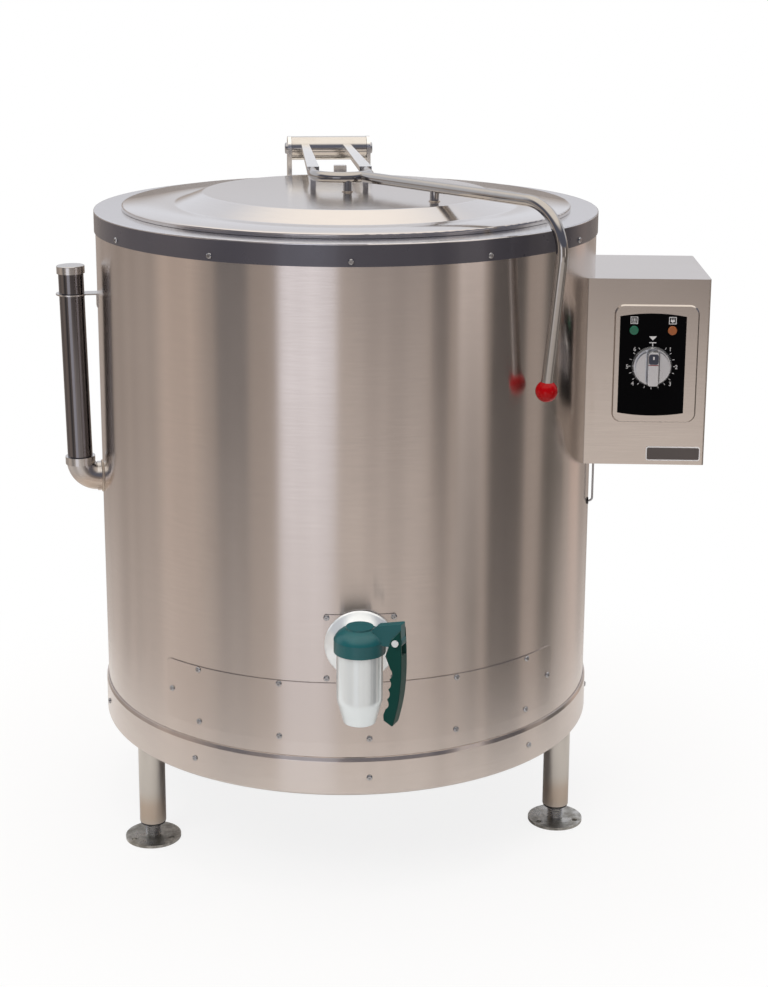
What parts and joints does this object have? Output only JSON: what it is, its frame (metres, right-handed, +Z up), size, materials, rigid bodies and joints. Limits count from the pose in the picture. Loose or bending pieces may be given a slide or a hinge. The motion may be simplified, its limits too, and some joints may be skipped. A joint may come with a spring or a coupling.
{
  "type": "steam jacketed kettle",
  "caption": "Round electric jacketed boiling pan on three levelling legs, with a lever-lifted hinged lid, front draw-off tap, oil filler pipe and side control box.",
  "frame": {"origin": "on the floor, on the pan's upright axis", "axes": "+Z up, -Y to the front where the tap is, +X to the right where the control box is"},
  "size_m": [0.9486, 0.855, 0.9686],
  "materials": {
    "polished_steel": "polished stainless steel",
    "brushed_steel": "brushed stainless steel",
    "slate_trim": "dark slate satin",
    "plated_steel": "plated steel",
    "spring_steel": "oiled spring steel",
    "bush_bronze": "sintered bronze",
    "bush_plastic": "black nylon",
    "heater_sheath": "heat-tinted sheath",
    "mineral_wool": "mineral wool",
    "red_ball": "glossy red moulding",
    "chrome_tap": "chromed brass",
    "plug_brass": "lapped brass",
    "green_plastic": "dark teal green moulding",
    "fascia_black": "black printed plate",
    "knob_silver": "silver moulding",
    "lamp_green": "green lens",
    "lamp_amber": "amber lens",
    "grey_plastic": "grey housing",
    "black_rubber": "black rubber"
  },
  "bodies": {
    "kettle": {"inner_pot": "polished_steel", "outer_shell": "brushed_steel", "skirt_ring": "brushed_steel", "rim_deck": "brushed_steel", "access_panel": "brushed_steel", "tap_plate": "brushed_steel", "control_box": "brushed_steel", "base_plate": "brushed_steel", "hinge_bracket": "brushed_steel", "filler_pipe": "brushed_steel", "filler_elbow": "brushed_steel", "filler_nipple": "brushed_steel", "filler_bracket": "brushed_steel", "leg_left": "brushed_steel", "leg_right": "brushed_steel", "leg_rear": "brushed_steel", "outlet_pipe": "brushed_steel", "rim_band": "slate_trim", "cover_screws": "plated_steel", "rim_band_screws": "plated_steel", "skirt_screws": "plated_steel", "hinge_shaft": "plated_steel", "mounting_bolts": "plated_steel", "mounting_plate": "plated_steel", "jacket_stand": "plated_steel", "oil_jacket": "plated_steel", "capillary": "plated_steel", "sensor_pocket": "plated_steel", "element_heads": "plated_steel", "leg_bushes": "bush_plastic", "heating_elements": "heater_sheath", "insulation_blanket": "mineral_wool", "tap_body": "chrome_tap", "tap_rosette": "chrome_tap", "control_fascia": "fascia_black", "heating_lamp": "lamp_green", "mains_lamp": "lamp_amber", "thermostat": "grey_plastic", "contactor": "grey_plastic", "terminal_block": "grey_plastic", "mains_gland": "black_rubber", "lead_grommet": "black_rubber"},
    "lid": {"lid": "polished_steel", "hinge_barrel": "brushed_steel", "hinge_bushes": "bush_bronze", "hinge_spring": "spring_steel", "lid_arms": "brushed_steel", "lid_yoke": "brushed_steel", "handle_rod": "brushed_steel", "handle_ball": "red_ball", "handle_posts": "brushed_steel"},
    "tap_cap": {"tap_cap": "green_plastic", "tap_plug": "plug_brass", "grip_pin": "chrome_tap"},
    "tap_grip": {"tap_grip": "green_plastic"},
    "thermostat_knob": {"thermostat_knob": "knob_silver"},
    "filler_cap": {"filler_cap": "brushed_steel"},
    "foot_left": {"foot_left": "brushed_steel"},
    "foot_right": {"foot_right": "brushed_steel"},
    "foot_rear": {"foot_rear": "brushed_steel"}
  },
  "joints": [
    {"name": "lid_hinge", "type": "hinge", "parent": "kettle", "child": "lid", "pos_m": [0, 0.346, 0.949], "axis": [-1, 0, 0], "range_deg": [0, 90]},
    {"name": "tap_turn", "type": "hinge", "parent": "kettle", "child": "tap_cap", "pos_m": [-0.01964, -0.43142, 0.361], "axis": [0, 0, -1], "range_deg": [-22, 68]},
    {"name": "tap_grip_fold", "type": "hinge", "parent": "tap_cap", "child": "tap_grip", "pos_m": [0.02804, -0.45677, 0.4], "axis": [-0.4695, -0.8829, 0], "range_deg": [0, 95]},
    {"name": "thermostat_dial", "type": "hinge", "parent": "kettle", "child": "thermostat_knob", "pos_m": [0.4188, -0.17802, 0.69], "axis": [0.1392, 0.9903, 0], "range_deg": [0, 285]},
    {"name": "filler_cap_lift", "type": "slide", "parent": "kettle", "child": "filler_cap", "axis": [-0.0174, -0.0015, 0.9998], "range_m": [0, 0.03]},
    {"name": "foot_left_level", "type": "slide", "parent": "kettle", "child": "foot_left", "axis": [0, 0, -1], "range_m": [0, 0.02]},
    {"name": "foot_right_level", "type": "slide", "parent": "kettle", "child": "foot_right", "axis": [0, 0, -1], "range_m": [0, 0.02]},
    {"name": "foot_rear_level", "type": "slide", "parent": "kettle", "child": "foot_rear", "axis": [0, 0, -1], "range_m": [0, 0.02]}
  ]
}
